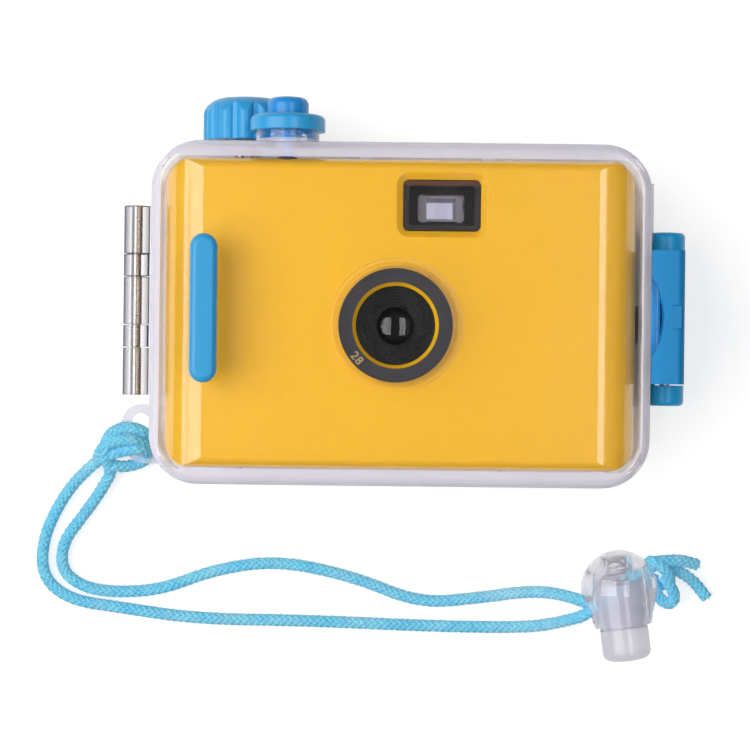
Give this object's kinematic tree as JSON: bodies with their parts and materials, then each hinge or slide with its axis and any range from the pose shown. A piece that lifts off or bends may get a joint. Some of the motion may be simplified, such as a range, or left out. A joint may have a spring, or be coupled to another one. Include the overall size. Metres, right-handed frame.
{
  "type": "waterproof film camera",
  "caption": "Film camera in a clear hinged waterproof case with side latch, wind knob, shutter plunger, lens port and a cord wrist strap with ball lock.",
  "frame": {"origin": "centre of the flat back face of the case, which it rests on", "axes": "+X to the right and +Y up as one looks at the lens, +Z out of the lens"},
  "size_m": [0.1591, 0.1287, 0.0455],
  "materials": {
    "case_clear": "clear moulded plastic, polished",
    "window_clear": "clear flat window, polished",
    "lock_clear": "clear moulded plastic, polished",
    "gasket_rubber": "pale silicone rubber",
    "seal_rubber": "black rubber",
    "bright_steel": "polished",
    "spring_steel": "drawn wire",
    "fine_steel": "satin",
    "latch_blue": "semi-gloss",
    "grip_blue": "semi-gloss",
    "knob_blue": "semi-gloss",
    "button_blue": "semi-gloss",
    "body_yellow": "semi-gloss",
    "body_black": "matt",
    "ring_black": "satin",
    "plate_black": "matt",
    "lens_glass": "polished",
    "counter_white": "printed with plain marks",
    "cord_blue": "braided cord"
  },
  "bodies": {
    "back_half": {"case_back": "case_clear", "case_gasket": "gasket_rubber", "hinge_pin": "bright_steel", "latch_bracket": "latch_blue", "latch_pin": "bright_steel", "knob_seal": "seal_rubber", "camera_front_cover": "body_yellow", "counter_window": "lens_glass", "camera_rear_cover": "body_yellow", "camera_back_door": "body_yellow", "door_hinge_pin": "fine_steel", "camera_chassis": "body_black", "pressure_plate": "plate_black", "pressure_spring": "spring_steel", "lens_barrel": "body_black", "lens_ring": "ring_black", "front_lens": "lens_glass", "rear_lens": "lens_glass", "blade_pivot": "fine_steel", "ratchet_pawl": "fine_steel", "viewfinder_tunnel": "body_black", "viewfinder_front_lens": "lens_glass", "viewfinder_eyepiece": "lens_glass", "cover_screws": "fine_steel", "strap_knot": "cord_blue", "strap_cord_outer": "cord_blue", "strap_cord_inner": "cord_blue", "cord_lock_body": "lock_clear", "cord_lock_spring": "spring_steel", "end_knot": "cord_blue", "strap_tail_short": "cord_blue", "strap_tail_long": "cord_blue"},
    "front_half": {"case_front": "case_clear", "finger_grip": "grip_blue", "port_window": "window_clear", "shutter_collar": "knob_blue", "plunger_seal": "seal_rubber", "plunger_spring": "spring_steel"},
    "plunger": {"plunger_button": "button_blue", "plunger_shaft": "button_blue", "plunger_clip": "bright_steel"},
    "latch": {"latch_lever": "latch_blue"},
    "winder": {"wind_knob": "knob_blue", "wind_shaft": "bright_steel", "wind_clip": "bright_steel"},
    "film_spool": {"wind_wheel": "body_black", "take_up_spool": "body_black"},
    "sprocket": {"film_sprocket": "body_black"},
    "counter": {"counter_disc": "counter_white"},
    "rewinder": {"rewind_knob": "body_black", "rewind_fork": "body_black"},
    "camera_button": {"camera_shutter_button": "body_black"},
    "shutter_lever": {"release_lever": "fine_steel"},
    "blade": {"shutter_blade": "plate_black"},
    "release_pin": {"rewind_release": "body_black"},
    "catch": {"door_catch": "body_black"},
    "lock_plunger": {"cord_lock_plunger": "lock_clear"}
  },
  "joints": [
    {"name": "lid_hinge", "type": "hinge", "parent": "back_half", "child": "front_half", "pos_m": [-0.05945, 0, 0.02405], "axis": [0, -1, 0], "range_deg": [0, 110]},
    {"name": "latch_swing", "type": "hinge", "parent": "back_half", "child": "latch", "pos_m": [0.06135, 0.0002, 0.0126], "axis": [0, 1, 0], "range_deg": [0, 95]},
    {"name": "shutter_press", "type": "slide", "parent": "front_half", "child": "plunger", "axis": [0, -1, 0], "range_m": [0, 0.0015], "stiffness_N_per_m": 600, "springref_m": -0.002, "deforming": ["plunger_spring"]},
    {"name": "camera_button_press", "type": "slide", "parent": "back_half", "child": "camera_button", "axis": [0, -1, 0], "range_m": [0, 0.0015]},
    {"name": "release_lever_turn", "type": "hinge", "parent": "back_half", "child": "shutter_lever", "pos_m": [-0.014, 0.022, 0.031], "axis": [0, 0, 1], "range_deg": [0, 7.9]},
    {"name": "shutter_blade_swing", "type": "hinge", "parent": "back_half", "child": "blade", "pos_m": [0.00744, -0.0109, 0.0276], "axis": [0, 0, 1], "range_deg": [0, 30]},
    {"name": "wind_turn", "type": "hinge", "parent": "back_half", "child": "winder", "pos_m": [-0.03545, 0.04, 0.014], "axis": [0, 1, 0], "continuous": true},
    {"name": "spool_turn", "type": "hinge", "parent": "back_half", "child": "film_spool", "pos_m": [-0.03545, 0, 0.014], "axis": [0, 1, 0], "continuous": true},
    {"name": "sprocket_turn", "type": "hinge", "parent": "back_half", "child": "sprocket", "pos_m": [-0.0226, 0, 0.0123], "axis": [0, 1, 0], "continuous": true},
    {"name": "counter_turn", "type": "hinge", "parent": "back_half", "child": "counter", "pos_m": [-0.009, 0.032, 0.016], "axis": [0, 1, 0], "continuous": true},
    {"name": "rewind_turn", "type": "hinge", "parent": "back_half", "child": "rewinder", "pos_m": [0.038, 0.034, 0.0185], "axis": [0, 1, 0], "continuous": true},
    {"name": "rewind_release_press", "type": "slide", "parent": "back_half", "child": "release_pin", "axis": [0, 1, 0], "range_m": [0, 0.001], "stiffness_N_per_m": 400, "springref_m": -0.001},
    {"name": "door_catch_slide", "type": "slide", "parent": "back_half", "child": "catch", "axis": [0, -1, 0], "range_m": [0, 0.002]},
    {"name": "cord_lock_press", "type": "slide", "parent": "back_half", "child": "lock_plunger", "axis": [-0.1305, 0.9914, 0], "range_m": [0, 0.0022], "stiffness_N_per_m": 800, "springref_m": -0.003, "deforming": ["cord_lock_spring"]}
  ],
  "couplings": [
    {"joint": "camera_button_press", "follows": "shutter_press", "ratio": 1},
    {"joint": "release_lever_turn", "follows": "shutter_press", "rad_per_m": 91.921},
    {"joint": "shutter_blade_swing", "follows": "shutter_press", "rad_per_m": 349.07},
    {"joint": "spool_turn", "follows": "wind_turn", "ratio": 1},
    {"joint": "sprocket_turn", "follows": "wind_turn", "ratio": 1.2},
    {"joint": "counter_turn", "follows": "wind_turn", "ratio": -0.0333}
  ]
}
